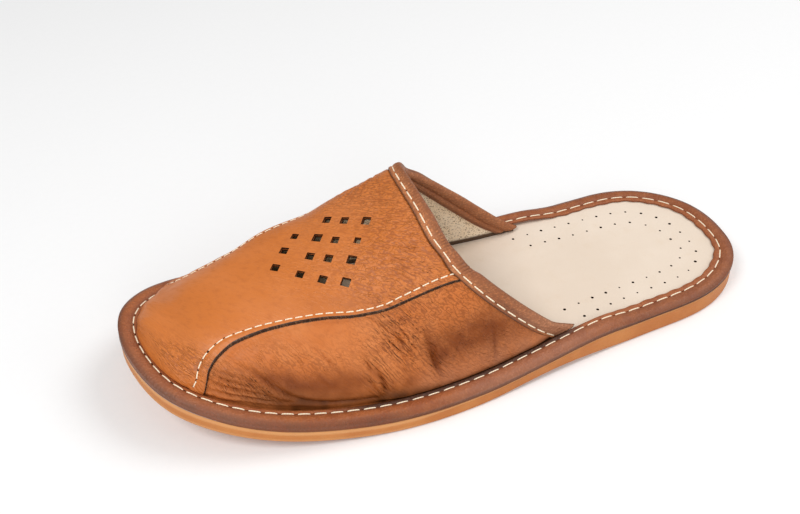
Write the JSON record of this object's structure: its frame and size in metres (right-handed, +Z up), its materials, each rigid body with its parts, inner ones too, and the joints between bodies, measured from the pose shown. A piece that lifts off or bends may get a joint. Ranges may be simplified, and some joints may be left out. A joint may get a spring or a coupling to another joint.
{
  "type": "mule slipper",
  "caption": "Backless leather house slipper for a left foot: sewn upper with a front panel and square cut-outs, bound collar, welted insole and thin rubber outsole.",
  "frame": {"origin": "on the floor under the middle of the outsole's length and width", "axes": "+X toe to heel, so the toe points to -X; +Y medial side (big toe), -Y lateral side (little toe); +Z up from the floor"},
  "size_m": [0.2905, 0.1142, 0.0732],
  "materials": {
    "outsole_rubber": "matte honey-tan foamed rubber, lightly scuffed",
    "insole_leather": "smooth cream leather with pin-holes round the heel",
    "welt_leather": "soft reddish-brown leather, rolled over the edge and stitched in cream",
    "side_leather": "pebbled tan leather outside, grey-beige lining inside",
    "vamp_leather": "smooth orange-tan leather with raw dark edges and cream stitches",
    "collar_leather": "soft brown leather binding stitched in cream"
  },
  "bodies": {
    "root": {"outsole": "outsole_rubber", "insole": "insole_leather", "welt_binding": "welt_leather", "upper": "side_leather", "vamp_panel": "vamp_leather", "collar_binding": "collar_leather"}
  },
  "joints": []
}
